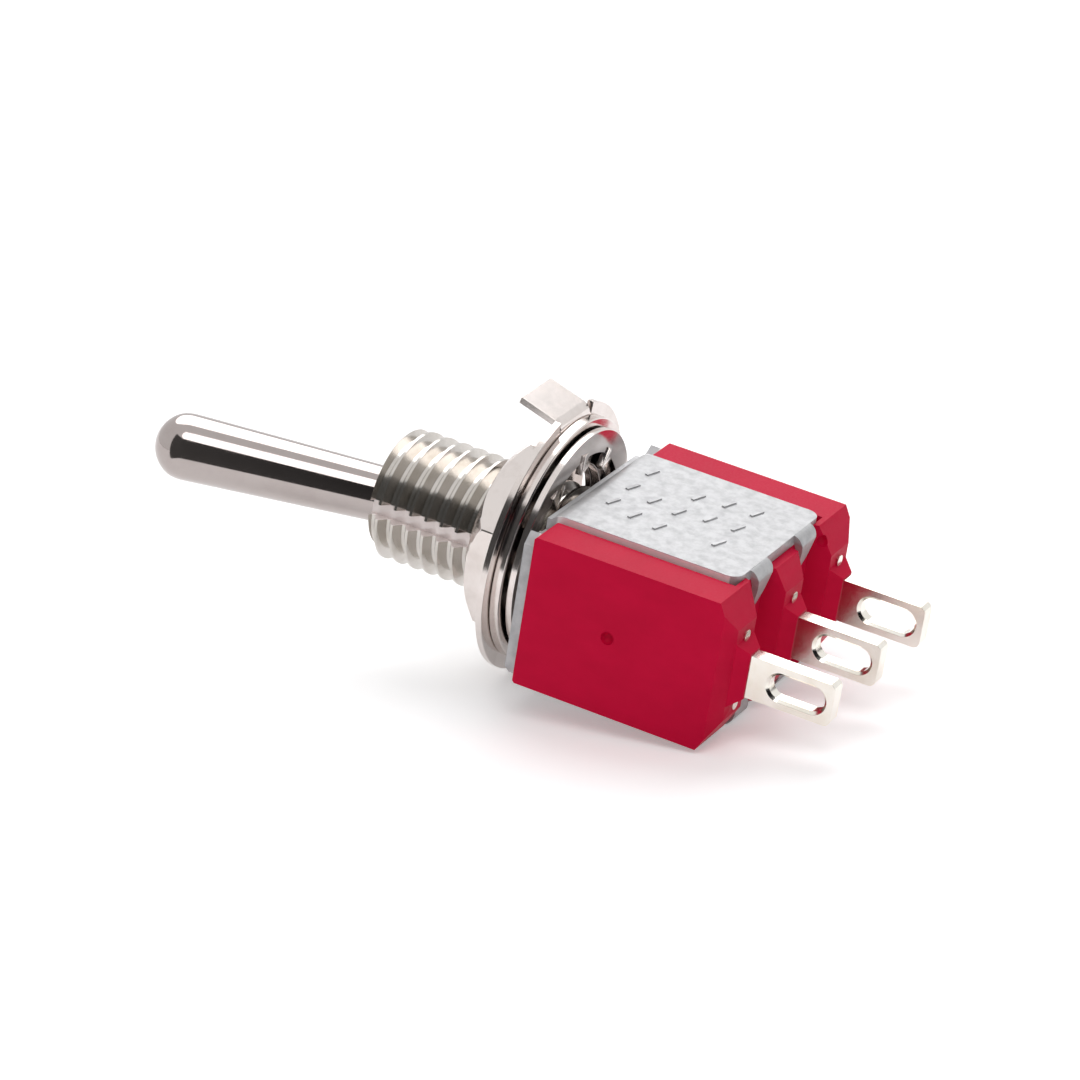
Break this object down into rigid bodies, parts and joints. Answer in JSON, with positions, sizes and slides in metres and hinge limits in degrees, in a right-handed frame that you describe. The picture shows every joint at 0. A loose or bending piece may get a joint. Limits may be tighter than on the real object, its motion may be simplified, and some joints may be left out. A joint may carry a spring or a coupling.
{
  "type": "toggle switch",
  "caption": "Miniature panel toggle switch: red case in a steel strap, threaded bushing, bat lever, solder terminals, loose nut and washers.",
  "frame": {"origin": "centre of the strap's seat face, on the bushing's axis", "axes": "+Z along the bushing towards the lever's tip, +X along the terminal row towards the right terminal, +Y away from the tab of the locking ring"},
  "size_m": [0.0127, 0.0126, 0.0338],
  "materials": {
    "red_plastic": "satin moulded",
    "white_plastic": "moulded",
    "strap_steel": "matte",
    "nickel": "bright nickel plate",
    "lever_nickel": "polished nickel plate",
    "hardware_nickel": "nickel plate",
    "spring_steel": "drawn wire",
    "contact_brass": "rolled",
    "tinned_brass": "silver plate",
    "silver": "burnished"
  },
  "bodies": {
    "switch_body": {"case": "red_plastic", "strap": "strap_steel", "bushing": "nickel", "left_terminal": "tinned_brass", "centre_terminal": "tinned_brass", "right_terminal": "tinned_brass", "left_fixed_contact": "silver", "right_fixed_contact": "silver", "hex_nut": "hardware_nickel", "locking_ring": "hardware_nickel", "plain_washer": "hardware_nickel", "tooth_washer": "hardware_nickel"},
    "lever_body": {"toggle_lever": "lever_nickel", "plunger_spring": "spring_steel"},
    "plunger_body": {"plunger": "white_plastic"},
    "rocker_body": {"rocker": "contact_brass", "left_moving_contact": "silver", "right_moving_contact": "silver"}
  },
  "joints": [
    {"name": "lever_swing", "type": "hinge", "parent": "switch_body", "child": "lever_body", "pos_m": [0, 0, 0.0059], "axis": [0, 1, 0], "range_deg": [0, 26]},
    {"name": "plunger_slide", "type": "slide", "parent": "lever_body", "child": "plunger_body", "axis": [0.225, 0, -0.9744], "range_m": [0, 0.0005]},
    {"name": "rocker_tilt", "type": "hinge", "parent": "switch_body", "child": "rocker_body", "pos_m": [0, 0, -0.006], "axis": [0, 1, 0], "range_deg": [-10, 0]}
  ],
  "couplings": [
    {"joint": "rocker_tilt", "follows": "lever_swing", "ratio": -0.3846}
  ]
}
